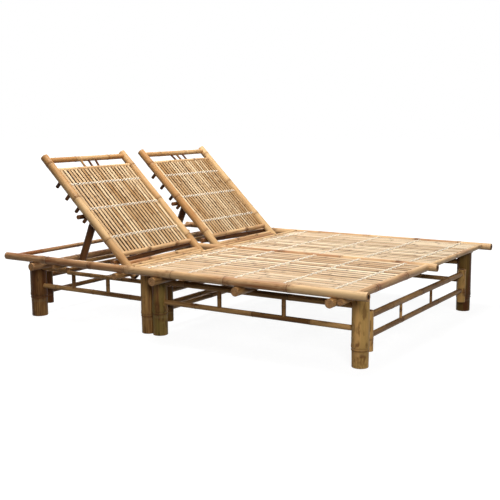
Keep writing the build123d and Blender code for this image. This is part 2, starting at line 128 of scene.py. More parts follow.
# Strips: share across, share up and edge darkness of each corner of the section, and forms at the small nodes. The
# edge darkness is partly weathered split sides and underside and partly painted shade in the gaps between strips,
# reaching onto the top bevels
STRIP_OUTLINE = (
    (1.0, 0.1, 1.0), (1.0, 0.66, 1.0), (0.97, 0.76, 0.75), (0.86, 0.89, 0.25), (0.42, 0.97, 0.0),
    (0.0, 1.0, 0.0), (-0.42, 0.97, 0.0), (-0.86, 0.89, 0.25), (-0.97, 0.76, 0.75), (-1.0, 0.66, 1.0),
    (-1.0, 0.1, 1.0), (-0.93, 0.0, 1.0), (0.0, 0.05, 0.8), (0.93, 0.0, 1.0),
)
STRIP_CROWN_SHARE = 0.6
STRIP_SKIN_SHARE = 0.3
NEAR_STRIP_NODE = (-0.026, -0.013, -0.007, -0.004, -0.002, 0.0, 0.002, 0.005, 0.009, 0.016, 0.028)
STRIP_NODE_LUMPS = ((0.0007, 0.004), (0.0004, 0.016))
STRIP_NODE_REACH = 0.012
NODE_FROM_START, NODE_FROM_END = 0.05, 0.04
NODE_GAP_RANGE = (0.75, 1.25)
SWAY_RATES, SWELL_RATES = (5.0, 9.0), (8.0, 16.0)
STRIP_GAP_RANGE, START_GAP_RANGE = (0.8, 1.2), (0.7, 1.3)
STRIP_TILT = 0.012
STRIP_SHARP_ANGLE = math.radians(50.0)

# Twine: sizes in radii of a strand, depths in metres, and shares of a strip's width or of the reach
STRAND_SIDES = 7
STEPS_PER_STRETCH = 2
PLIES = 2
PLY_TWIST = 1.6
BESIDE_ROD, UNDER_ROD, PAST_STRIPS, FROM_EDGE, SLIP = 1.2, 0.4, 1.5, 0.3, 0.4
LOWER_STRAND_LIFT, UPPER_STRAND_LIFT = 1.0, 2.2
EDGE_DEPTH, CROWN_DEPTH = 0.001, 0.0004
CROWN_START_SHARE, UNDER_ROD_SHARE = 0.16, 0.6
REACH_RANGE = (0.85, 1.15)

# Each grain: how often it repeats across and along the fibres, its detail and its roughness
GRAINS = {
    "drift": (11.0, 2.2, 2.0, 0.55),
    "mottle": (60.0, 9.0, 3.0, 0.55),
    "fibres": (760.0, 9.0, 2.0, 0.55),
    "streaks": (210.0, 3.0, 2.0, 0.55),
    "green patches": (24.0, 5.0, 3.0, 0.55),
    "blotches": (48.0, 13.0, 4.0, 0.6),
    "scorches": (26.0, 14.0, 3.0, 0.55),
    "strip drift": (16.0, 3.0, 2.0, 0.55),
    "strip mottle": (90.0, 22.0, 4.0, 0.62),
    "strip fibres": (820.0, 10.0, 2.0, 0.55),
    "strip stains": (34.0, 8.0, 3.0, 0.55),
    "strip threads": (330.0, 3.2, 2.0, 0.55),
    "vessels": (900.0, 900.0, 2.0, 0.55),
    "end dirt": (120.0, 120.0, 3.0, 0.55),
    "paper": (200.0, 60.0, 4.0, 0.55),
    "lint": (700.0, 700.0, 3.0, 0.55),
    "twine dirt": (30.0, 30.0, 3.0, 0.55),
}

# Each layer: the two levels of its grain or distance between which it changes, and its strength at both
LAYERS = {
    "green patches": (0.42, 0.6, 0.0, 1.0),
    "node haze": (0.1, 1.2, 0.24, 0.0),
    "scorch reach": (0.6, 2.6, 0.75, 0.0),
    "scar": (0.03, 0.14, 0.6, 0.0),
    "fibre lines": (0.3, 0.62, 0.16, 0.0),
    "pole roughness": (0.3, 0.75, 0.36, 0.56),
    "strip tone": (0.3, 0.95, 0.0, 1.0),
    "strip stains": (0.6, 0.72, 0.0, 0.5),
    "strip threads": (0.6, 0.72, 0.0, 0.62),
    "strip node haze": (0.05, 1.4, 0.2, 0.0),
    "strip scar": (0.08, 0.24, 0.3, 0.0),
    "strip fibre lines": (0.3, 0.6, 0.12, 0.0),
    # Darkened split edges: partly weathering, partly painted shade in the gaps between strips
    "split edge": (0.2, 0.75, 0.0, 0.95),
    "strip roughness": (0.3, 0.75, 0.42, 0.66),
    "vessels": (0.45, 0.6, 0.0, 0.45),
    "end dirt": (0.42, 0.7, 0.0, 0.5),
    "dark rim": (0.86, 1.0, 0.0, 0.5),
    "end roughness": (0.3, 0.7, 0.6, 0.85),
    "paper": (0.35, 0.65, 0.0, 1.0),
    "paper roughness": (0.3, 0.7, 0.75, 0.95),
    "twine dirt": (0.55, 0.8, 0.0, 0.25),
    "painted shade between plies": (-1.0, -0.4, 0.15, 0.0),
    "twine roughness": (0.3, 0.7, 0.7, 0.95),
}
TONE_LOW, TONE_RANGE, TONE_FOR_STREAKS = 0.4, 0.55, 0.35
DRIFT_PART, MOTTLE_PART, STRIP_DRIFT_PART, STRIP_MOTTLE_PART = 0.9, 0.3, 0.8, 0.4
FIBRE_RELIEF, MOTTLE_RELIEF, STRIP_FIBRE_RELIEF, STRIP_MOTTLE_RELIEF = 0.8, 0.2, 0.7, 0.3
BLOTCH_LEVELS = (0.54, 0.68)
SCORCH_LEVELS = (0.57, 0.68)
BLOOM_LEVELS = (0.06, 0.24)
BLOOM_BELOW_RING = 0.38
# Dimming of the bore colour in noisy patches of painted shade
BORE_SHADE_DIMMING = 0.4
SATIN = {"Specular IOR Level": 0.1}
POLISHED = {"Specular IOR Level": 0.1, "Coat Weight": 0.02, "Coat Roughness": 0.3}

# Camera and stage
CAMERA_PLACE = Vector((2.3765, -3.6948, 1.0008))
CAMERA_YAW, CAMERA_PITCH, CAMERA_ROLL = 0.5743, 0.1607, -0.0074
CAMERA_LENS = 62.14
CAMERA_SHIFT = (-0.0033, 0.0155)
SENSOR_WIDTH = 36.0
AMBIENT_STRENGTH = 0.06
FLOOR_REACH = 30.0
FLOOR_GLOW = 1.19
FLOOR_GLOW_SHARE = 0.77
FLOOR_BOUNCE = 0.06
SHADOW_REACH = (1.3, 2.2)
# Each lamp: its place, the point it faces, its size and its power
LAMPS = {
    "Overhead lamp": ((-0.2, -0.15, 3.4), (0.0, 0.0, 0.2), 1.8, 130.0),
    "Side lamp": ((3.2, -3.6, 2.1), (0.3, 0.0, 0.25), 1.4, 95.0),
    "Rear lamp": ((-3.4, 3.2, 1.5), (-0.3, 0.0, 0.25), 2.2, 46.0),
}


def colour(name, description, red, green, blue):
    """A colour property of the lounger, from eight-bit values."""
    shade = Color((red / 255, green / 255, blue / 255)).from_srgb_to_scene_linear()
    return FloatVectorProperty(
        name=name, description=description, default=(*shade, 1.0), subtype="COLOR", size=4, min=0.0, max=1.0
    )


def length(name, description, default):
    """A length property of the lounger, in metres."""
    return FloatProperty(
        name=name, description=description, default=default, min=0.0, subtype="DISTANCE", unit="LENGTH",
        precision=4,
    )


def share(name, description, default):
    """A property that is a share of a pole's radius."""
    return FloatProperty(
        name=name, description=description + ", as a share of the pole's radius", default=default,
        min=0.0, max=2.0, subtype="FACTOR",
    )


class LoungerSizes(PropertyGroup):
    """Sizes of the bamboo's own forms, which the solids leave plain."""

    backrest_angle: FloatProperty(
        name="Backrest angle", description="Slope of the backrests at rest", default=math.radians(44.0),
        subtype="ANGLE", unit="ROTATION",
    )
    ridge_share: share("Ridge", "How far the ridge of a node stands out", 0.05)
    shoulder_share: share("Shoulder", "Swelling above each node", 0.035)
    groove_share: share("Groove", "Depth of the groove between ridge and shoulder", 0.03)
    swell_share: share("Swelling", "Swelling of a pole towards each node", 0.012)
    waist_share: share("Waist", "How much a pole draws in between two nodes", 0.018)
    bore_share: share("Bore", "Hollow of a cut pole", 0.52)
    leg_foot_share: share("Leg foot", "Radius of a leg below its ring", 0.95)
    bore_depth: length("Bore depth", "Depth of the hollow in a cut end", 0.03)
    web_depth: length("Web depth", "Depth of the woody web that closes some cut ends", 0.0025)
    rim_bevel: length("Rim bevel", "Worn edge round a cut end", 0.0009)
    bow: length("Bow", "Largest sideways bow of a long pole", 0.0012)
    station_step: length("Station step", "Distance between two rings of a pole's mesh", 0.03)
    strip_wander: length("Strip wander", "How far a split strip strays from straight", 0.0007)
    backrest_twine_radius: length("Backrest twine", "Radius of a strand of twine on the backrests", 0.0014)
    deck_twine_radius: length("Deck twine", "Radius of a strand of twine on the deck", 0.0018)
    faces_per_radius: FloatProperty(
        name="Faces round a pole", description="Faces round a pole for each metre of its radius",
        default=1400.0, min=400.0, max=4000.0,
    )


class LoungerColours(PropertyGroup):
    """Colours of the bamboo, its cut ends and the twine."""

    rail_light: colour("Rail light", "Pale stretches of the long rails", 230, 192, 142)
    rail_deep: colour("Rail deep", "Brown stretches of the long rails", 158, 102, 62)
    backrest_light: colour("Backrest light", "Pale stretches of the backrest rails", 226, 188, 136)
    backrest_deep: colour("Backrest deep", "Golden brown of the backrest rails", 184, 134, 82)
    leg_light: colour("Leg light", "Olive tan of the legs", 232, 180, 110)
    leg_deep: colour("Leg deep", "Dark brown of the legs", 88, 48, 16)
    leg_olive: colour("Leg olive", "Green that the legs keep in places", 132, 120, 58)
    stretcher_light: colour("Stretcher light", "Tan of the stretchers and spindles", 212, 164, 106)
    stretcher_deep: colour("Stretcher deep", "Brown of the stretchers and spindles", 104, 68, 32)
    straw_light: colour("Straw light", "Palest strips of the deck", 243, 221, 187)
    straw_deep: colour("Straw deep", "Peach and tan strips of the deck", 190, 154, 114)
    slat_light: colour("Slat light", "Palest slats of the backrests", 234, 204, 162)
    slat_deep: colour("Slat deep", "Olive and brown slats of the backrests", 174, 132, 84)
    stained_light: colour("Stained light", "Worn stretches of the dark props and pegs", 132, 88, 50)
    stained_deep: colour("Stained deep", "Dark brown of the props and pegs", 56, 30, 12)
    # Colour of the split sides and undersides of the strips, partly weathered and partly painted shade in the gaps
    # between strips; the strip threads use it too
    split_edge: colour("Split edge", "Weathered split sides of the strips", 58, 34, 14)
    ring: colour("Ring", "Scar round each node", 104, 62, 30)
    bloom: colour("Bloom", "Pale waxy band under each node", 226, 202, 160)
    cut: colour("Cut end", "Fresh bamboo of a cut end", 192, 146, 96)
    # Bore colour: partly the inside's own brown, partly painted shade in the hollow
    bore: colour("Bore", "Inside of a hollow pole", 74, 50, 30)
    twine: colour("Twine", "White cotton twine", 255, 246, 228)
    floor: colour("Floor", "Plain floor", 246, 246, 246)


class Nodes:
    """A node tree and the few steps that build it."""

    def __init__(self, owner):
        owner.use_nodes = True
        self.tree = owner.node_tree
        self.tree.nodes.clear()

    def add(self, kind, inputs=(), **settings):
        """A new node with its settings, and plain numbers or sockets for its inputs."""
        node = self.tree.nodes.new(kind)
        for key, value in settings.items():
            setattr(node, key, value)
        for key, value in dict(inputs).items():
            if isinstance(value, bpy.types.NodeSocket):
                self.tree.links.new(value, node.inputs[key])
            else:
                node.inputs[key].default_value = value
        return node

    def math(self, operation, first, second=0.0):
        """A sum, a product or the like of plain numbers or sockets."""
        return self.add("ShaderNodeMath", {0: first, 1: second}, operation=operation).outputs[0]

    def spread(self, source, low, high, at_low=0.0, at_high=1.0, curve="SMOOTHSTEP"):
        """A source brought from between two levels to between two strengths."""
        inputs = {"Value": source, "From Min": low, "From Max": high, "To Min": at_low, "To Max": at_high}
        return self.add("ShaderNodeMapRange", inputs, interpolation_type=curve).outputs["Result"]

    def choose(self, amount, first, second):
        """The first shader at an amount of 0, the second at 1."""
        return self.add("ShaderNodeMixShader", {0: amount, 1: first.outputs[0], 2: second.outputs[0]})

    def looking(self):
        """One for a ray from the camera, a reflection or glass, and zero for the light on the object."""
        rays = self.add("ShaderNodeLightPath")
        either = self.math("MAXIMUM", rays.outputs["Is Camera Ray"], rays.outputs["Is Glossy Ray"])
        return self.math("MAXIMUM", either, rays.outputs["Is Transmission Ray"])


class Finish(Nodes):
    """A material that is laid on colour by colour, over the grain of its piece."""

    def __init__(self, name):
        self.material = bpy.data.materials.new(name)
        super().__init__(self.material)
        self.grain = self.add("ShaderNodeAttribute", attribute_name="grain").outputs["Vector"]

    def value(self, name):
        """One of the piece's point values."""
        return self.add("ShaderNodeAttribute", attribute_name=name).outputs["Fac"]

    def noise(self, name):
        """A named grain, from 0 to 1."""
        across, along, detail, roughness = GRAINS[name]
        inputs = {0: self.grain, 1: (across, across, along)}
        place = self.add("ShaderNodeVectorMath", inputs, operation="MULTIPLY").outputs["Vector"]
        inputs = {"Vector": place, "Scale": 1.0, "Detail": detail, "Roughness": roughness}
        return self.add("ShaderNodeTexNoise", inputs).outputs["Fac"]

    def layer(self, name, source):
        """The strength of a named layer, from its grain or distance."""
        return self.spread(source, *LAYERS[name])

    def total(self, *terms):
        """The sum of sources, each with its share."""
        answer = None
        for source, part in terms:
            term = source if part == 1.0 else self.math("MULTIPLY", source, part)
            answer = term if answer is None else self.math("ADD", answer, term)
        return answer

    def lay(self, amount, paint, blend="MIX", under=None):
        """Lay a colour over the one below it, by an amount from 0 to 1."""
        below = self.colour if under is None else under
        inputs = {"Factor": amount, 6: below, 7: paint}
        self.colour = self.add("ShaderNodeMix", inputs, data_type="RGBA", blend_type=blend).outputs[2]

    def complete(self, roughness, relief, depth, strength, gloss=()):
        """Join the colour, the roughness and a relief to the surface, with the relief's depth in metres."""
        bump = self.add("ShaderNodeBump", {"Height": relief, "Distance": depth, "Strength": strength})
        inputs = {"Base Color": self.colour, "Roughness": roughness, "Normal": bump.outputs["Normal"]}
        surface = self.add("ShaderNodeBsdfPrincipled", {**inputs, **dict(gloss)})
        self.add("ShaderNodeOutputMaterial", {"Surface": surface.outputs["BSDF"]})
        return self.material


def bamboo_skin(
    name, colours, wood, tint=None, bloom="bloom", streaks=0.35, bloom_strength=0.14, blotches=0.25,
    scorching=0.0,
):
    """Polished outer skin of a bamboo pole: drifting tone, fibres, dark scars and waxy bands at the nodes."""
    finish = Finish(name)
    light, deep, ring = getattr(colours, wood + "_light"), getattr(colours, wood + "_deep"), colours.ring
    from_ring, mottle, fibres = finish.value("ring"), finish.noise("mottle"), finish.noise("fibres")
    tone = finish.total(
        (finish.noise("drift"), DRIFT_PART), (finish.value("tone"), 1.0), (mottle, MOTTLE_PART),
        (finish.noise("streaks"), streaks),
    )
    low = TONE_LOW + streaks * TONE_FOR_STREAKS
    band = finish.spread(finish.value("band"), *BLOOM_LEVELS, bloom_strength, 0.0)
    finish.lay(finish.spread(tone, low, low + TONE_RANGE), light, under=deep)
    if tint is not None:
        patches = finish.layer("green patches", finish.noise("green patches"))
        finish.lay(finish.math("MULTIPLY", patches, finish.value("tint")), getattr(colours, tint))
    finish.lay(finish.spread(finish.noise("blotches"), *BLOTCH_LEVELS, 0.0, blotches), deep, "MULTIPLY")
    finish.lay(finish.layer("node haze", from_ring), ring, "MULTIPLY")
    scorch = finish.spread(finish.noise("scorches"), *(level - scorching for level in SCORCH_LEVELS))
    finish.lay(finish.math("MULTIPLY", scorch, finish.layer("scorch reach", from_ring)), ring)
    finish.lay(band, getattr(colours, bloom))
    finish.lay(finish.layer("scar", from_ring), ring)
    finish.lay(finish.layer("fibre lines", fibres), ring)
    relief = finish.total((fibres, FIBRE_RELIEF), (mottle, MOTTLE_RELIEF))
    roughness = finish.layer("pole roughness", mottle)
    return finish.complete(roughness, relief, depth=0.00025, strength=0.35, gloss=POLISHED)


def split_skin(name, colours, wood):
    """Skin of a split strip: straw tones, small nodes and darker split edges, partly weathered and partly painted
    shade in the gaps between strips.
    """
    finish = Finish(name)
    light, deep, ring = getattr(colours, wood + "_light"), getattr(colours, wood + "_deep"), colours.ring
    from_ring = finish.value("ring")
    mottle, fibres = finish.noise("strip mottle"), finish.noise("strip fibres")
    tone = finish.total(
        (finish.noise("strip drift"), STRIP_DRIFT_PART), (finish.value("tone"), 1.0),
        (mottle, STRIP_MOTTLE_PART),
    )
    finish.lay(finish.layer("strip tone", tone), light, under=deep)
    finish.lay(finish.layer("strip stains", finish.noise("strip stains")), deep)
    finish.lay(finish.layer("strip threads", finish.noise("strip threads")), colours.split_edge)
    finish.lay(finish.layer("strip node haze", from_ring), ring, "MULTIPLY")
    finish.lay(finish.layer("strip scar", from_ring), ring)
    finish.lay(finish.layer("strip fibre lines", fibres), ring)
    # Darken the split sides, undersides and top bevels: partly weathering, partly painted shade in the gaps
    # between strips
    finish.lay(finish.layer("split edge", finish.value("edge")), colours.split_edge)
    relief = finish.total((fibres, STRIP_FIBRE_RELIEF), (mottle, STRIP_MOTTLE_RELIEF))
    roughness = finish.layer("strip roughness", mottle)
    return finish.complete(roughness, relief, depth=0.0006, strength=0.5, gloss=SATIN)


def cut_face(name, colours, cut):
    """End grain of a sawn pole: pale, dotted with vessels, darker towards the skin."""
    finish = Finish(name)
    vessels, dirt = finish.noise("vessels"), finish.noise("end dirt")
    finish.lay(finish.layer("vessels", vessels), colours.ring, under=getattr(colours, cut))
    finish.lay(finish.layer("end dirt", dirt), colours.ring)
    finish.lay(finish.layer("dark rim", finish.value("rim")), colours.ring)
    return finish.complete(finish.layer("end roughness", dirt), vessels, depth=0.0005, strength=0.5)


def hollow_inside(name, colours):
    """Papery inside of a pole: its dark brown is partly painted shade in the hollow, darker still in noisy
    patches.
    """
    finish = Finish(name)
    paper = finish.noise("paper")
    finish.lay(finish.layer("paper", paper), dimmed(colours.bore, BORE_SHADE_DIMMING), under=colours.bore)
    return finish.complete(finish.layer("paper roughness", paper), paper, depth=0.0008, strength=0.5)


def cotton_twine(name, colours):
    """Off-white laid twine with its plies, and painted shade in the grooves between them."""
    finish = Finish(name)
    lint, plies = finish.noise("lint"), finish.math("SINE", finish.value("ply"))
    finish.lay(finish.layer("twine dirt", finish.noise("twine dirt")), colours.bloom, under=colours.twine)
    # Painted shade in the grooves between the plies, in the bloom colour
    finish.lay(finish.layer("painted shade between plies", plies), colours.bloom)
    relief = finish.total((plies, 1.0), (lint, 1.0))
    return finish.complete(finish.layer("twine roughness", lint), relief, depth=0.0003, strength=0.6)


# The maker of each finish, and what sets the finish apart from its like
FINISHES = {
    "Rail bamboo": (bamboo_skin, {"wood": "rail", "streaks": 0.45, "blotches": 0.4, "scorching": 0.05}),
    "Backrest bamboo": (bamboo_skin, {"wood": "backrest"}),
    "Leg bamboo": (bamboo_skin, {
        "wood": "leg", "tint": "leg_olive", "streaks": 0.4, "bloom_strength": 0.07, "blotches": 0.55,
        "scorching": 0.03,
    }),
    "Stretcher bamboo": (bamboo_skin, {"wood": "stretcher", "streaks": 0.5, "blotches": 0.4}),
    "Stained bamboo": (bamboo_skin, {"wood": "stained", "bloom": "ring"}),
    "Deck strips": (split_skin, {"wood": "straw"}),
    "Backrest slats": (split_skin, {"wood": "slat"}),
    "Sawn ends": (cut_face, {"cut": "cut"}),
    "Stained ends": (cut_face, {"cut": "stained_light"}),
    "Hollow inside": (hollow_inside, {}),
    "Cotton twine": (cotton_twine, {}),
}


def finish_named(name):
    """A material of the lounger, made when it is first asked for."""
    found = bpy.data.materials.get(name)
    if found is None:
        maker, settings = FINISHES[name]
        found = maker(name, bpy.context.scene.lounger_colours, **settings)
    return found


def dimmed(paint, amount):
    """A darker shade of a colour."""
    return (*(value * amount for value in paint[:3]), 1.0)


def unit(vector):
    """A vector of length one."""
    vector = np.asarray(vector, float)
    return vector / np.linalg.norm(vector)


def hump(distance, place, width):
    """A soft hump of height one about a place."""
    return np.exp(-(((distance - place) / width) ** 2))


def sideways(along):
    """Two directions square to a pole, that turn right-handed about it."""
    reference = np.array(UPWARD) if abs(along[2]) < NEARLY_UPRIGHT else np.array(LENGTHWISE)
    first = unit(np.cross(reference, along))
    return first, np.cross(along, first)


def grain_offset(draw):
    """Where in the endless grain a piece was cut, so that no two look alike."""
    return np.array([draw.uniform(0.0, GRAIN_REACH) for axis in range(3)])


def separate_solids(node):
    """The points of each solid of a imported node, in order across and then along the lounger."""
    mesh = frame["nodes"][node].data
    points = np.zeros(len(mesh.vertices) * 3)
    mesh.vertices.foreach_get("co", points)
    places, number = np.unique(np.round(points.reshape(-1, 3) / SAME_POINT), axis=0, return_inverse=True)
    number = number.reshape(-1)
    group = list(range(len(places)))

    def root(index):
        while group[index] != index:
            group[index] = group[group[index]]
            index = group[index]
        return index

    for edge in mesh.edges:
        first, second = edge.vertices
        group[root(number[first])] = root(number[second])
    solids = {}
    for index, place in enumerate(places):
        solids.setdefault(root(index), []).append(place * SAME_POINT)
    found = [np.array(solid) for solid in solids.values()]
    return sorted(found, key=lambda solid: tuple(np.round(solid.mean(axis=0)[[1, 0, 2]], 3)))


def circle_through(flat):
    """Centre of the circle that runs through points on a plane."""
    table = np.column_stack((2 * flat, np.ones(len(flat))))
    return np.linalg.lstsq(table, (flat**2).sum(axis=1), rcond=None)[0][:2]


class Pole:
    """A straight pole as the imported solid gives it: its axis, radius, ridges and hollow ends."""

    def __init__(self, points, along):
        self.along = unit(along)
        self.first, self.second = sideways(self.along)
        travel = points @ self.along
        low, high = travel.min(), travel.max()
        flat = np.column_stack((points @ self.first, points @ self.second))
        middle = (flat.max(axis=0) + flat.min(axis=0)) / 2
        for attempt in range(2):
            reach = np.linalg.norm(flat - middle, axis=1)
            middle = circle_through(flat[reach > reach.max() * OUTER_SHARE])
        reach = np.linalg.norm(flat - middle, axis=1)
        widest = reach.max()
        plain = widest / RING_HEIGHT_IN_SOLIDS
        on_ring = reach > widest * (1.0 - RADIUS_SLACK)
        ridged = np.sum(np.abs(reach - plain) < plain * RADIUS_SLACK) > np.sum(on_ring)
        self.radius = plain if ridged else widest
        self.length = high - low
        self.start = middle[0] * self.first + middle[1] * self.second + low * self.along
        self.rings = []
        for place in np.sort(travel[on_ring]) - low if ridged else ():
            if not self.rings or place - self.rings[-1] > self.radius / 2:
                self.rings.append(place)
        bore = np.abs(reach / self.radius - BORE_IN_SOLIDS) < BORE_SLACK
        self.open_start = np.sum(bore & (travel - low < SAME_PLACE)) > FEWEST_BORE_POINTS
        self.open_end = np.sum(bore & (high - travel < SAME_PLACE)) > FEWEST_BORE_POINTS


class Leg:
    """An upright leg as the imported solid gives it: its axis, radius and ring."""

    def __init__(self, points):
        low, high = points.min(axis=0), points.max(axis=0)
        reach = np.linalg.norm(points[:, :2] - (low[:2] + high[:2]) / 2, axis=1)
        self.centre = circle_through(points[reach > reach.max() * LEG_OUTER_SHARE][:, :2])
        reach = np.linalg.norm(points[:, :2] - self.centre, axis=1)
        self.radius = reach.max() / RING_HEIGHT_IN_SOLIDS
        self.ring = float(points[reach > reach.max() * LEG_OUTER_SHARE][:, 2].mean())
        self.height = high[2]


class Strip:
    """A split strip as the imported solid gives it, in the frame of its deck or backrest."""

    def __init__(self, points, axes):
        self.axes = axes
        local = (points - axes[0]) @ np.transpose(axes[1:])
        self.start, self.left, self.low = local.min(axis=0)
        self.end, self.right, self.top = local.max(axis=0)


class PieceMesh:
    """Points, faces and point values of one piece while it is built."""

    def __init__(self):
        self.count = 0
        self.points = []
        self.grain = []
        self.faces = []
        self.slots = []
        self.values = {name: [] for name in ("ring", "band", "tone", "rim", "edge", "tint", "ply")}

    def add_points(self, points, grain, **values):
        """Take points with their values, and give the number of the first. The distances from a node's ring
        and from the waxy band below it have no sign, which would draw a false ring where it changes."""
        first = self.count
        from_ring = float(np.clip(values.get("ring", FAR_FROM_RING), -FAR_FROM_RING, FAR_FROM_RING))
        values["ring"], values["band"] = abs(from_ring), abs(from_ring + BLOOM_BELOW_RING)
        points = np.asarray(points, float).reshape(-1, 3)
        self.points.append(points)
        self.grain.append(np.asarray(grain, float).reshape(-1, 3))
        for name, kept in self.values.items():
            value = np.asarray(values.get(name, 0.0), float).reshape(-1)
            kept.append(np.broadcast_to(value, (len(points),)))
        self.count += len(points)
        return first

    def add_face(self, corners, slot):
        """Take a face by its corners' numbers, with its slot."""
        self.faces.append(tuple(corners))
        self.slots.append(slot)

    def add_loft(self, first, rings, sides, slots=None, cap=None):
        """Quads between rings of points that follow each other, each ring with its slot, and flat caps."""
        for ring in range(rings - 1):
            near_ring = first + ring * sides
            far_ring = near_ring + sides
            for side in range(sides):
                following = (side + 1) % sides
                corners = (near_ring + side, near_ring + following, far_ring + following, far_ring + side)
                self.add_face(corners, slots[ring] if slots else SKIN)
        if cap is not None:
            last = first + (rings - 1) * sides
            self.add_face(range(first + sides - 1, first - 1, -1), cap)
            self.add_face(range(last, last + sides), cap)

    def add_turned(self, profile, sides, put):
        """A closed skin from tip to tip. The profile lists places along the axis with their widths and
        slots, and put adds the points of one of them."""
        start, first, *others, last, end = [put(*row) for row in profile]
        slots = [slot for place, width, slot in profile]
        self.add_loft(first, len(profile) - 2, sides, slots[1:])
        for side in range(sides):
            following = (side + 1) % sides
            self.add_face((start, first + following, first + side), slots[0])
            self.add_face((end, last + side, last + following), slots[-1])

    def make(self, name, materials, sharp_angle):
        """The piece as an object with its materials and point values."""
        mesh = bpy.data.meshes.new(name)
        mesh.from_pydata(np.concatenate(self.points).tolist(), [], self.faces)
        mesh.polygons.foreach_set("material_index", self.slots)
        grain = mesh.attributes.new("grain", "FLOAT_VECTOR", "POINT")
        grain.data.foreach_set("vector", np.concatenate(self.grain).astype(np.float32).reshape(-1))
        for key, kept in self.values.items():
            values = mesh.attributes.new(key, "FLOAT", "POINT")
            values.data.foreach_set("value", np.concatenate(kept).astype(np.float32))
        for material in materials:
            mesh.materials.append(material)
        mesh.shade_smooth()
        mesh.set_sharp_from_angle(angle=sharp_angle)
        mesh.update()
        piece = bpy.data.objects.new(name, mesh)
        bpy.context.scene.collection.objects.link(piece)
        return piece


def dress(node, mesh, finishes, sharp_angle=SHARP_ANGLE):
    """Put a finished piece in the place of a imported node."""
    piece = mesh.make(node + "_dressed", [finish_named(name) for name in finishes], sharp_angle)
    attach(piece, body_of[node])
    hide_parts(node)


def swelling(sizes, distance):
    """Radius of a pole near a node as a share of its own, with the distance in radii up the pole."""
    ridge = sizes.ridge_share * hump(distance, 0.0, RIDGE_WIDTH)
    groove = sizes.groove_share * hump(distance, GROOVE_PLACE, GROOVE_WIDTH)
    shoulder = sizes.shoulder_share * hump(distance, SHOULDER_PLACE, SHOULDER_WIDTH)
    swell = sizes.swell_share * hump(distance, 0.0, SWELL_WIDTH)
    waist = sizes.waist_share * (1.0 - hump(distance, 0.0, WAIST_WIDTH))
    return 1.0 + ridge - groove + shoulder + swell - waist


def stations_between(start, end, nodes, near_node, radius=1.0):
    """Places in even steps, with closer ones about each node."""
    steps = max(2, round((end - start) / bpy.context.scene.lounger_sizes.station_step))
    places = [start + (end - start) * index / steps for index in range(steps + 1)]
    reach = radius * near_node[-1]
    places = [place for place in places if all(abs(place - node) > reach for node in nodes)]
    for node in nodes:
        places.extend(node + radius * step for step in near_node)
    return sorted(places)


def skin_profile(places, widths, end, bevel):
    """The skin of a pole between its worn rims, as places along it with their widths and slots."""
    profile = [(0.0, widths[0] - bevel, CUT), (bevel, widths[0], SKIN)]
    profile += [(place, width, SKIN) for place, width in zip(places, widths)]
    return profile + [(end - bevel, widths[-1], CUT), (end, widths[-1] - bevel, CUT)]


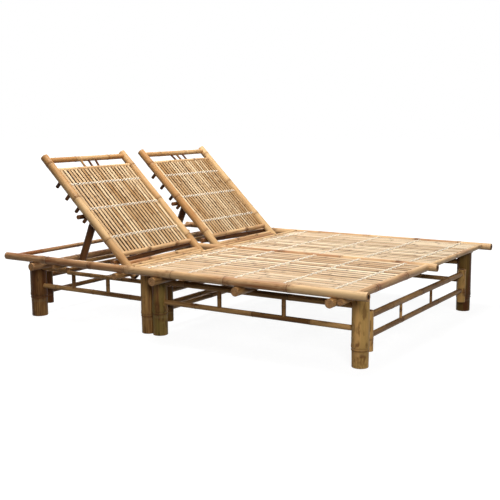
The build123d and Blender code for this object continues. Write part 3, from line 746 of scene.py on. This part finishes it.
def add_pole(mesh, pole, name, tone=0.0, tone_at_end=None, tint=0.0, bend=True, top_plane=None, web=False):
    """A bamboo pole with its nodes and its sawn, hollow, webbed or plain ends, as one closed skin."""
    sizes = bpy.context.scene.lounger_sizes
    draw = random.Random(name)
    radius, end = pole.radius, pole.length
    sides = 2 * round(radius * sizes.faces_per_radius / 2)
    sides = min(MOST_FACES_ROUND, max(FEWEST_FACES_ROUND, sides))
    rings = np.array(pole.rings or [NO_RING])

    def from_ring(place):
        steps = (place - rings) / radius
        return np.clip(steps[np.argmin(np.abs(steps))], -FAR_FROM_RING, FAR_FROM_RING)

    margin = sizes.rim_bevel * CLEAR_OF_END_BEVELS
    stations = []
    for place in stations_between(0.0, end, pole.rings, NEAR_NODE, radius):
        clear = not stations or place - stations[-1] > radius * CLOSEST_STATIONS_SHARE
        if clear and margin < place < end - margin:
            stations.append(place)
    widths = radius * swelling(sizes, np.array([from_ring(place) for place in stations]))
    bevel = min(sizes.rim_bevel, radius * WIDEST_BEVEL_SHARE)
    soft = bevel / 2
    bore = radius * sizes.bore_share
    depth = sizes.web_depth if web else min(sizes.bore_depth, end * DEEPEST_BORE_SHARE)
    inside = CUT if web else BORE
    profile = [(0.0, 0.0, CUT)]
    if pole.open_start:
        profile = [(depth, 0.0, inside), (depth, bore, inside), (soft, bore, CUT), (0.0, bore + soft, CUT)]
    profile += skin_profile(stations, widths, end, bevel)
    if pole.open_end:
        profile += [(end, bore + soft, CUT), (end - soft, bore, inside), (end - depth, bore, inside)]
        profile += [(end - depth, 0.0, inside)]
    else:
        profile += [(end, 0.0, CUT)]

    bow = sizes.bow * draw.uniform(*BOW_RANGE) if bend and end > SHORTEST_BOWED_POLE else 0.0
    bow_turn = draw.uniform(0.0, math.tau)
    bow_side = math.cos(bow_turn) * pole.first + math.sin(bow_turn) * pole.second
    offset = grain_offset(draw)
    own_tone = tone + draw.gauss(0.0, TONE_SPREAD)
    end_tone = own_tone if tone_at_end is None else tone_at_end
    between_tones = [draw.gauss(0.0, TONE_SPREAD_BETWEEN_NODES) for stretch in range(len(pole.rings) + 1)]
    turns = np.arange(sides) * math.tau / sides
    circle = np.column_stack((np.cos(turns), np.sin(turns)))
    rounds = np.outer(circle[:, 0], pole.first) + np.outer(circle[:, 1], pole.second)

    def put(place, width, slot):
        count = sides if width else 1
        points = pole.start + pole.along * place + bow_side * bow * math.sin(math.pi * place / end)
        points = points + rounds[:count] * width
        if top_plane is not None and place > end - bevel * SAWN_BEVELS:
            corner, normal = top_plane
            shift = ((corner - points) @ normal) / (pole.along @ normal)
            points = points + np.outer(shift - (end - place), pole.along)
        grain = np.column_stack((circle[:count] * width, np.full(count, place))) + offset
        tone_here = own_tone + (end_tone - own_tone) * min(1.0, max(0.0, place / end))
        tone_here += between_tones[sum(1 for ring in pole.rings if ring < place)]
        distance = from_ring(place) if slot == SKIN else FAR_FROM_RING
        return mesh.add_points(points, grain, tone=tone_here, rim=width / radius, ring=distance, tint=tint)

    mesh.add_turned(profile, sides, put)


def dress_poles(node, along, skin, tone=0.0, tones=None, cut="Sawn ends", **settings):
    """Dress every pole of a node, each with its own draw of colour and bend."""
    mesh = PieceMesh()
    for index, points in enumerate(separate_solids(node)):
        own = tones[index] if tones else tone
        add_pole(mesh, Pole(points, along), node + str(index), own, **settings)
    dress(node, mesh, (skin, cut, "Hollow inside"))


def dress_slanted_poles(node, skin, tone, **settings):
    """Dress poles that each lie on their own slant, such as the sticks that fan out between the top bars."""
    mesh = PieceMesh()
    for index, points in enumerate(separate_solids(node)):
        middle = points.mean(axis=0)
        along = np.linalg.svd(points - middle)[2][0]
        along = along if along[1] + along[2] > 0 else -along
        travel = (points - middle) @ along
        top = points[travel > travel.max() * END_POINTS_SHARE].mean(axis=0)
        foot = points[travel < travel.min() * END_POINTS_SHARE].mean(axis=0)
        add_pole(mesh, Pole(points, top - foot), node + str(index), tone, bend=False, **settings)
    dress(node, mesh, (skin, "Stained ends", "Hollow inside"))


def dress_prop_legs(side):
    """The two legs of a prop, their tops sawn slantwise under the support rod."""
    node = "prop_" + side + "_legs"
    low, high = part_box("backrest_" + side + "_support_rod")
    pivot = np.array(hinge_of["prop_" + side])
    along = unit(((low[0] + high[0]) / 2 - pivot[0], 0.0, (low[2] + high[2]) / 2 - pivot[2]))
    mesh = PieceMesh()
    for index, points in enumerate(separate_solids(node)):
        pole = Pole(points, along)
        travel = points @ pole.along
        top = points[travel > travel.max() - pole.radius * SAWN_TOP_REACH]
        middle = top.mean(axis=0)
        normal = np.linalg.svd(top - middle)[2][2]
        normal = normal if normal @ pole.along > 0 else -normal
        add_pole(mesh, pole, node + str(index), bend=False, top_plane=(middle, normal))
    dress(node, mesh, ("Stained bamboo", "Stained ends", "Hollow inside"))


def dress_leg(node, tone, tint):
    """A thick leg: slimmer below its ring, with a hollow top and a worn foot."""
    sizes = bpy.context.scene.lounger_sizes
    leg = Leg(separate_solids(node)[0])
    draw = random.Random(node)
    mesh = PieceMesh()
    top = leg.height
    bevel = sizes.rim_bevel * LEG_BEVELS
    margin = bevel * LEG_CLEAR_OF_END_BEVELS
    places = [top * index / LEG_STEPS for index in range(1, LEG_STEPS)]
    places = sorted(places + [leg.ring + leg.radius * step for step in NEAR_NODE])
    places = [place for place in places if margin < place < top - margin]
    steps = np.diff(places, prepend=-1.0)
    places = [place for place, step in zip(places, steps) if step > LEG_CLOSEST_STATIONS]
    distances = (np.array(places) - leg.ring) / leg.radius
    narrowing = 1.0 - (1.0 - sizes.leg_foot_share) / (1.0 + np.exp(distances * LEG_NARROWING_RATE))
    widths = leg.radius * swelling(sizes, distances) * narrowing
    bore = leg.radius * sizes.bore_share
    profile = [(0.0, 0.0, CUT)] + skin_profile(places, widths, top, bevel) + [(top, bore, BORE)]
    profile += [(top - LEG_BORE_DEPTH, bore, BORE), (top - LEG_BORE_DEPTH, 0.0, BORE)]
    turns = np.arange(LEG_SIDES) * math.tau / LEG_SIDES
    circle = np.column_stack((np.cos(turns), np.sin(turns)))
    oval = 1.0 + LEG_OVAL * np.cos(2 * (turns + draw.uniform(0.0, math.tau)))
    bud = draw.uniform(0.0, math.tau)
    offset = grain_offset(draw)
    below_tone = draw.gauss(0.0, TONE_SPREAD)

    def put(place, width, slot):
        count = LEG_SIDES if width else 1
        up = (place - leg.ring) / leg.radius
        cleft = CLEFT_DEPTH * hump(up, CLEFT_PLACE, CLEFT_LENGTH) if up > CLEFT_START else 0.0
        dent = 1.0 - cleft * hump(np.angle(np.exp(1j * (turns - bud))), 0.0, CLEFT_ANGLE)
        reach = width * oval * (dent if slot == SKIN else 1.0)
        points = np.column_stack((circle * reach[:, None], np.full(LEG_SIDES, place)))[:count]
        tone_here = tone + (below_tone if place < leg.ring else 0.0)
        values = {"tone": tone_here, "tint": tint, "rim": width / leg.radius}
        values["ring"] = up if slot == SKIN else FAR_FROM_RING
        return mesh.add_points(points + (*leg.centre, 0.0), points + offset, **values)

    mesh.add_turned(profile, LEG_SIDES, put)
    dress(node, mesh, ("Leg bamboo", "Sawn ends", "Hollow inside"))


def local_frame(body):
    """Origin, direction along, direction across and upward direction of a tilted backrest."""
    slope = bpy.context.scene.lounger_sizes.backrest_angle
    along = np.array((-math.cos(slope), 0.0, math.sin(slope)))
    above = np.array((math.sin(slope), 0.0, math.cos(slope)))
    return np.array(hinge_of[body]), along, np.cross(above, along), above


def level_frame():
    """The same for the level deck."""
    return np.zeros(3), np.array(LENGTHWISE), np.array(ACROSS), np.array(UPWARD)


def add_strip(mesh, strip, name, left, right, tone, node_gap):
    """One strip with a crowned skin, darkened edges that are partly weathering and partly painted shade in the
    gaps, small nodes and a hand-split wander.
    """
    sizes = bpy.context.scene.lounger_sizes
    draw = random.Random(name)
    nodes = []
    place = strip.start + draw.uniform(NODE_FROM_START, node_gap)
    while place < strip.end - NODE_FROM_END:
        nodes.append(place)
        place += node_gap * draw.uniform(*NODE_GAP_RANGE)
    places = stations_between(strip.start, strip.end, nodes, NEAR_STRIP_NODE)
    places = [strip.start] + [place for place in places if strip.start < place < strip.end] + [strip.end]
    sways = [(draw.uniform(*SWAY_RATES), draw.uniform(0.0, math.tau)) for wave in range(2)]
    swells = [(draw.uniform(*SWELL_RATES), draw.uniform(0.0, math.tau)) for wave in range(2)]
    offset = grain_offset(draw)
    between_tones = [draw.gauss(0.0, TONE_SPREAD) for stretch in range(len(nodes) + 1)]
    tilt = draw.gauss(0.0, STRIP_TILT)
    origin, along_way, across_way, above_way = strip.axes
    half, middle = (right - left) / 2, (right + left) / 2
    # The third column of the outline is how far each corner takes the edge colour, partly weathering and partly
    # painted shade
    out, up, edge = np.transpose(STRIP_OUTLINE)

    def wander(waves):
        return sizes.strip_wander * sum(math.sin(rate * place + turn) for rate, turn in waves) / 2

    first = mesh.count
    for place in places:
        from_node = min((place - node for node in nodes), key=abs, default=1.0)
        lump = sum(height * hump(from_node, 0.0, width) for height, width in STRIP_NODE_LUMPS)
        across = middle + wander(sways) + out * (half + wander(swells))
        above = strip.low + up * (strip.top - strip.low) + (up > STRIP_CROWN_SHARE) * lump
        above = above + out * half * tilt * (up > STRIP_SKIN_SHARE)
        points = origin + place * along_way + np.outer(across, across_way) + np.outer(above, above_way)
        grain = np.column_stack((across, above, np.full(len(out), place))) + offset
        tone_here = tone + between_tones[sum(1 for node in nodes if node < place)]
        mesh.add_points(points, grain, tone=tone_here, ring=from_node / STRIP_NODE_REACH, edge=edge)
    mesh.add_loft(first, len(places), len(out), cap=CUT)


def strips_of(node, axes):
    """The strips of a node, from left to right."""
    return sorted((Strip(points, axes) for points in separate_solids(node)), key=lambda strip: strip.left)


def dress_strips(
    node, axes, skin, gap_tight, gap_open, open_share, node_gap, tone_spread, start_gap=0.0, deeper=0.0
):
    """Dress the strips of one deck half or backrest, with uneven gaps and tones as hand-split bamboo has."""
    draw = random.Random(node)
    mesh = PieceMesh()
    strips = strips_of(node, axes)
    edges = [[strip.left, strip.right] for strip in strips]
    for index in range(len(strips) - 1):
        centre = (strips[index].right + strips[index + 1].left) / 2
        gap = gap_open if draw.random() < open_share else gap_tight
        gap *= draw.uniform(*STRIP_GAP_RANGE)
        edges[index][1] = centre - gap / 2
        edges[index + 1][0] = centre + gap / 2
    for index, strip in enumerate(strips):
        strip.start += start_gap * draw.uniform(*START_GAP_RANGE)
        strip.low -= deeper
        tone = draw.gauss(0.0, tone_spread)
        add_strip(mesh, strip, node + str(index), *edges[index], tone, node_gap)
    dress(node, mesh, (skin, "Sawn ends"), STRIP_SHARP_ANGLE)


def smooth_path(controls):
    """Points of a smooth line that runs through the given ones."""
    padded = np.vstack((controls[0], controls, controls[-1]))
    path = []
    for index in range(len(controls) - 1):
        before, start, end, after = padded[index:index + 4]
        for step in range(STEPS_PER_STRETCH):
            t = step / STEPS_PER_STRETCH
            path.append(0.5 * (
                2 * start + (end - before) * t + (2 * before - 5 * start + 4 * end - after) * t**2
                + (3 * start - before - 3 * end + after) * t**3
            ))
    return np.array(path + [controls[-1]])


def add_strand(mesh, controls, radius, name):
    """A round strand of twine along a smooth path."""
    path = smooth_path(controls)
    steps = np.diff(path, axis=0)
    directions = np.vstack((steps, steps[-1:]))
    directions[1:-1] = steps[:-1] + steps[1:]
    travelled = np.concatenate(([0.0], np.cumsum(np.linalg.norm(steps, axis=1))))
    first_side = sideways(unit(directions[0]))[0]
    turns = np.arange(STRAND_SIDES) * math.tau / STRAND_SIDES
    offset = grain_offset(random.Random(name))
    first = mesh.count
    for point, direction, distance in zip(path, directions, travelled):
        direction = unit(direction)
        first_side = unit(first_side - direction * (first_side @ direction))
        second_side = np.cross(direction, first_side)
        rounds = np.outer(np.cos(turns), first_side) + np.outer(np.sin(turns), second_side)
        points = point + rounds * radius
        mesh.add_points(points, points + offset, ply=turns * PLIES + distance / radius * PLY_TWIST)
    mesh.add_loft(first, len(path), STRAND_SIDES, cap=SKIN)


def add_row(mesh, axes, edges, place, rod, radius, narrow, name):
    """One row of twine: two strands that cross over each strip and pass under the rod between the strips."""
    draw = random.Random(name)
    underside, top, rod_radius, rod_low = rod
    reach = rod_radius + radius * BESIDE_ROD
    origin, along_way, across_way, above_way = axes
    gaps = [edges[0][0] - radius * PAST_STRIPS]
    gaps += [(edges[index][1] + edges[index + 1][0]) / 2 for index in range(len(edges) - 1)]
    gaps += [edges[-1][1] + radius * PAST_STRIPS]
    at_edge, on_crown, under_rod = top - EDGE_DEPTH, top - CROWN_DEPTH + radius, rod_low - radius * UNDER_ROD
    for way, lift in ((1, LOWER_STRAND_LIFT), (-1, UPPER_STRAND_LIFT)):
        controls = []
        for start, end in zip(gaps, gaps[1:]):
            slip = draw.gauss(0.0, radius * SLIP)
            out = reach * draw.uniform(*REACH_RANGE)
            edge, crown = radius * FROM_EDGE, (end - start) * CROWN_START_SHARE
            row = (
                (-out, start, underside),
                (-out * narrow, start + edge, at_edge),
                (-out * narrow, start + crown, on_crown),
                (slip, (start + end) / 2, top + radius * lift),
                (out * narrow, end - crown, on_crown),
                (out * narrow, end - edge, at_edge),
                (out, end, underside),
                (out * UNDER_ROD_SHARE, end, under_rod),
                (-out * UNDER_ROD_SHARE, end, under_rod),
            )
            for step, across, above in row:
                point = origin + along_way * (place + way * step) + across_way * across + above_way * above
                controls.append(point)
        add_strand(mesh, controls, radius, name + str(way))


def tie_rows(mesh, axes, strips_node, rods_node, radius, narrow, name):
    """A row of twine over each rod that passes under the strips. The value narrow says how close its strands
    draw together on top of a strip, as a share of their distance beside the rod."""
    strips = strips_of(strips_node, axes)
    edges = [(strip.left, strip.right) for strip in strips]
    middle = (edges[0][0] + edges[-1][1]) / 2
    origin, along, across, above = axes
    for index, points in enumerate(separate_solids(rods_node)):
        rod = Pole(points, ACROSS)
        centre = rod.start + rod.along * rod.length / 2 - origin
        if abs(centre @ across - middle) < ROD_BESIDE_MIDDLE:
            levels = (strips[0].low, strips[0].top, rod.radius, centre @ above - rod.radius)
            add_row(mesh, axes, edges, centre @ along, levels, radius, narrow, name + str(index))


def set_camera(scene):
    """The camera at the photograph's viewing angle."""
    cos, sin = math.cos, math.sin
    yaw, pitch, roll = CAMERA_YAW, CAMERA_PITCH, CAMERA_ROLL
    ahead = Vector((-sin(yaw) * cos(pitch), cos(yaw) * cos(pitch), -sin(pitch)))
    level = Vector((cos(yaw), sin(yaw), 0.0))
    raised = level.cross(ahead)
    right = level * cos(roll) + raised * sin(roll)
    upward = raised * cos(roll) - level * sin(roll)
    data = bpy.data.cameras.new("View of the lounger")
    data.lens, data.sensor_width = CAMERA_LENS, SENSOR_WIDTH
    data.shift_x, data.shift_y = CAMERA_SHIFT
    camera = bpy.data.objects.new("View of the lounger", data)
    turn = Matrix((right, upward, -ahead)).transposed()
    camera.matrix_world = Matrix.Translation(CAMERA_PLACE) @ turn.to_4x4()
    scene.collection.objects.link(camera)
    scene.camera = camera


def set_world(scene):
    """A white surround to look at, with a softer light of its own on the object."""
    world = bpy.data.worlds.new("Studio")
    nodes = Nodes(world)
    light = nodes.add("ShaderNodeBackground", {"Color": WHITE, "Strength": AMBIENT_STRENGTH})
    seen = nodes.add("ShaderNodeBackground", {"Color": WHITE, "Strength": 1.0})
    both = nodes.choose(nodes.looking(), light, seen)
    nodes.add("ShaderNodeOutputWorld", {"Surface": both.outputs[0]})
    scene.world = world


def floor_finish(colours):
    """Pale floor that meets the white surround, keeps a faint shadow and throws back little light."""
    material = bpy.data.materials.new("Pale floor")
    nodes = Nodes(material)
    dark = nodes.add("ShaderNodeBsdfDiffuse", {"Color": dimmed(colours.floor, FLOOR_BOUNCE)})
    matt = nodes.add("ShaderNodeBsdfDiffuse", {"Color": colours.floor})
    glow = nodes.add("ShaderNodeEmission", {"Color": WHITE, "Strength": FLOOR_GLOW})
    place = nodes.add("ShaderNodeNewGeometry").outputs["Position"]
    away = nodes.add("ShaderNodeVectorMath", {0: place}, operation="LENGTH").outputs["Value"]
    glowing = nodes.spread(away, *SHADOW_REACH, FLOOR_GLOW_SHARE, 1.0, curve="LINEAR")
    both = nodes.choose(nodes.looking(), dark, nodes.choose(glowing, matt, glow))
    nodes.add("ShaderNodeOutputMaterial", {"Surface": both.outputs[0]})
    return material


def set_floor(scene):
    """The floor that the lounger stands on."""
    mesh = bpy.data.meshes.new("Floor")
    corners = [(-1, -1), (1, -1), (1, 1), (-1, 1)]
    mesh.from_pydata([(x * FLOOR_REACH, y * FLOOR_REACH, 0.0) for x, y in corners], [], [(0, 1, 2, 3)])
    mesh.materials.append(floor_finish(scene.lounger_colours))
    floor = bpy.data.objects.new("Floor", mesh)
    scene.collection.objects.link(floor)


def set_lamps(scene):
    """Soft square lamps that each face a point."""
    for name, (place, target, size, power) in LAMPS.items():
        data = bpy.data.lights.new(name, "AREA")
        data.shape, data.size, data.energy = "SQUARE", size, power
        lamp = bpy.data.objects.new(name, data)
        lamp.location = place
        lamp.rotation_euler = (Vector(target) - Vector(place)).to_track_quat("-Z", "Y").to_euler()
        scene.collection.objects.link(lamp)


class LOUNGER_OT_rails(Operator):
    """Dress the three long rails"""

    bl_idname = "lounger.rails"
    bl_label = "Long rails"

    def execute(self, context):
        dress_poles("rail_near", LENGTHWISE, "Rail bamboo", tone=-0.05, tone_at_end=0.18)
        dress_poles("rail_centre", LENGTHWISE, "Rail bamboo", tone=0.16)
        dress_poles("rail_far", LENGTHWISE, "Rail bamboo", tone=0.1)
        return {"FINISHED"}


class LOUNGER_OT_cross_poles(Operator):
    """Dress the poles that run across under the rails, the hinge axle and the prop pivot among them"""

    bl_idname = "lounger.cross_poles"
    bl_label = "Cross poles"

    def execute(self, context):
        dress_poles("cross_pole_head", ACROSS, "Rail bamboo", tone=-0.05, web=True)
        tones = {
            "cross_pole_middle": 0.0, "cross_pole_deck": 0.05, "cross_pole_foot": 0.1, "hinge_axle": 0.05,
            "prop_pivot_pole": 0.1, "end_blocks": 0.1,
        }
        for node, tone in tones.items():
            dress_poles(node, ACROSS, "Stretcher bamboo", tone=tone, web=True)
        return {"FINISHED"}


class LOUNGER_OT_legs(Operator):
    """Dress the eight legs and the stub posts beside them"""

    bl_idname = "lounger.legs"
    bl_label = "Legs"

    def execute(self, context):
        tone_and_tint = {
            "leg_head_near": (-0.18, 0.0), "leg_middle_near": (0.08, 0.0),
            # The near foot leg's much higher tone is partly painted light, for the light falling on it
            "leg_deck_near": (-0.04, 0.6), "leg_foot_near": (1.35, 0.35),
            "leg_head_far": (-0.1, 0.3), "leg_middle_far": (-0.1, 0.5),
            "leg_deck_far": (-0.15, 0.4), "leg_foot_far": (-0.2, 0.3),
        }
        for node, (tone, tint) in tone_and_tint.items():
            dress_leg(node, tone, tint)
        tones = (-0.2, -0.2, 0.35, -0.2, -0.1, -0.1, 0.25, -0.1)
        dress_poles("stub_posts", UPWARD, "Leg bamboo", tones=tones, tint=0.3)
        return {"FINISHED"}


class LOUNGER_OT_stretchers(Operator):
    """Dress the stretchers and the thin spindles between them"""

    bl_idname = "lounger.stretchers"
    bl_label = "Stretchers and spindles"

    def execute(self, context):
        # The thick head stretcher's high tone is painted light: it lifts the piece out of the shade it lies in
        tones = {
            "head_thick": 0.4, "head_thin": 0.15, "head_lower": 0.0, "foot_upper": 0.0, "foot_lower": 0.0,
        }
        for name, tone in tones.items():
            dress_poles("stretchers_" + name, LENGTHWISE, "Stretcher bamboo", tone=tone)
        dress_poles("end_stretchers", ACROSS, "Stretcher bamboo")
        dress_poles("spindles_side", UPWARD, "Stretcher bamboo", tone=-0.05)
        dress_poles("spindles_end", UPWARD, "Stretcher bamboo", tone=-0.05)
        return {"FINISHED"}


class LOUNGER_OT_crossbars(Operator):
    """Dress the crossbars between the rails and the thin poles at the head end of the deck"""

    bl_idname = "lounger.crossbars"
    bl_label = "Crossbars"

    def execute(self, context):
        dress_poles("crossbars_head", ACROSS, "Rail bamboo")
        dress_poles("crossbars_foot", ACROSS, "Rail bamboo", tone=0.3)
        dress_poles("deck_edge_poles", ACROSS, "Rail bamboo", tone=0.45)
        return {"FINISHED"}


class LOUNGER_OT_deck(Operator):
    """Dress the split strips of the deck and the rods under them"""

    bl_idname = "lounger.deck"
    bl_label = "Deck"

    def execute(self, context):
        for side in SIDES:
            dress_strips(
                "deck_strips_" + side, level_frame(), "Deck strips", gap_tight=0.003, gap_open=0.0085,
                open_share=0.6, node_gap=0.34, tone_spread=0.15, start_gap=0.006,
            )
        dress_poles("deck_rods", ACROSS, "Stretcher bamboo", bend=False)
        return {"FINISHED"}


class LOUNGER_OT_backrests(Operator):
    """Dress both backrests: rails, bars, slats, rods, pegs and support rod"""

    bl_idname = "lounger.backrests"
    bl_label = "Backrests"

    def execute(self, context):
        for side in SIDES:
            body = "backrest_" + side
            axes = local_frame(body)
            along, above = axes[1], axes[3]
            dress_poles(body + "_side_rails", along, "Backrest bamboo", tone=0.05)
            dress_poles(body + "_top_bar", ACROSS, "Backrest bamboo", tone=-0.08)
            dress_poles(body + "_second_bar", ACROSS, "Rail bamboo", tone=0.12)
            dress_poles(body + "_lower_bars", ACROSS, "Rail bamboo", tone=0.1)
            dress_poles(body + "_backing_rods", ACROSS, "Stretcher bamboo", bend=False)
            dress_poles(body + "_pegs", -above, "Stained bamboo", cut="Stained ends")
            dress_poles(body + "_support_rod", ACROSS, "Stained bamboo", cut="Stained ends", web=True)
            # The rear bar's raised tone is partly painted light, lightening the shade it lies in under the
            # backrest
            dress_slanted_poles(body + "_rear_bar", "Stained bamboo", tone=0.25, web=True)
            dress_slanted_poles(body + "_fan_sticks", "Leg bamboo", tone=-0.2)
            dress_strips(
                body + "_slats", axes, "Backrest slats", gap_tight=0.006, gap_open=0.0078, open_share=0.5,
                node_gap=0.22, tone_spread=0.1, deeper=0.0018,
            )
        return {"FINISHED"}


class LOUNGER_OT_props(Operator):
    """Dress the two props that hold the backrests up"""

    bl_idname = "lounger.props"
    bl_label = "Props"

    def execute(self, context):
        for side in SIDES:
            dress_prop_legs(side)
            dress_poles("prop_" + side + "_cross_stick", ACROSS, "Stained bamboo")
        return {"FINISHED"}


class LOUNGER_OT_twine(Operator):
    """Lash the strips and slats to their rods with white twine"""

    bl_idname = "lounger.twine"
    bl_label = "Twine"

    def execute(self, context):
        sizes = context.scene.lounger_sizes
        mesh = PieceMesh()
        for side in SIDES:
            strips = "deck_strips_" + side
            radius = sizes.deck_twine_radius
            tie_rows(mesh, level_frame(), strips, "deck_rods", radius, narrow=0.4, name="deck_row")
        dress("deck_twine", mesh, ("Cotton twine",))
        for side in SIDES:
            body = "backrest_" + side
            mesh = PieceMesh()
            radius, slats, rods = sizes.backrest_twine_radius, body + "_slats", body + "_backing_rods"
            tie_rows(mesh, local_frame(body), slats, rods, radius, narrow=0.75, name=body + "_row")
            dress(body + "_twine", mesh, ("Cotton twine",))
        return {"FINISHED"}


class LOUNGER_OT_stage(Operator):
    """Set up the pale floor, the soft light and the camera"""

    bl_idname = "lounger.stage"
    bl_label = "Stage"

    def execute(self, context):
        set_floor(context.scene)
        set_world(context.scene)
        set_lamps(context.scene)
        set_camera(context.scene)
        context.scene.view_settings.view_transform = "Standard"
        return {"FINISHED"}


class LOUNGER_PT_maker(Panel):
    """Sidebar panel of the lounger"""

    bl_idname = "LOUNGER_PT_maker"
    bl_label = "Bamboo Sun Lounger"
    bl_space_type = "VIEW_3D"
    bl_region_type = "UI"
    bl_category = "Lounger"

    def draw(self, context):
        for step in STEPS:
            self.layout.operator(step.bl_idname, text=step.bl_label)
        for group in (context.scene.lounger_sizes, context.scene.lounger_colours):
            box = self.layout.box()
            for name in group.__annotations__:
                box.prop(group, name)


STEPS = (
    LOUNGER_OT_rails, LOUNGER_OT_cross_poles, LOUNGER_OT_legs, LOUNGER_OT_stretchers, LOUNGER_OT_crossbars,
    LOUNGER_OT_deck, LOUNGER_OT_backrests, LOUNGER_OT_props, LOUNGER_OT_twine, LOUNGER_OT_stage,
)
CLASSES = (LoungerSizes, LoungerColours, *STEPS, LOUNGER_PT_maker)


def register():
    for kind in CLASSES:
        bpy.utils.register_class(kind)
    bpy.types.Scene.lounger_sizes = PointerProperty(type=LoungerSizes)
    bpy.types.Scene.lounger_colours = PointerProperty(type=LoungerColours)


def unregister():
    del bpy.types.Scene.lounger_sizes
    del bpy.types.Scene.lounger_colours
    for kind in reversed(CLASSES):
        bpy.utils.unregister_class(kind)


def main():
    """Build every piece in order."""
    register()
    for step in STEPS:
        group, name = step.bl_idname.split(".")
        getattr(getattr(bpy.ops, group), name)()


if __name__ == "__main__":
    main()
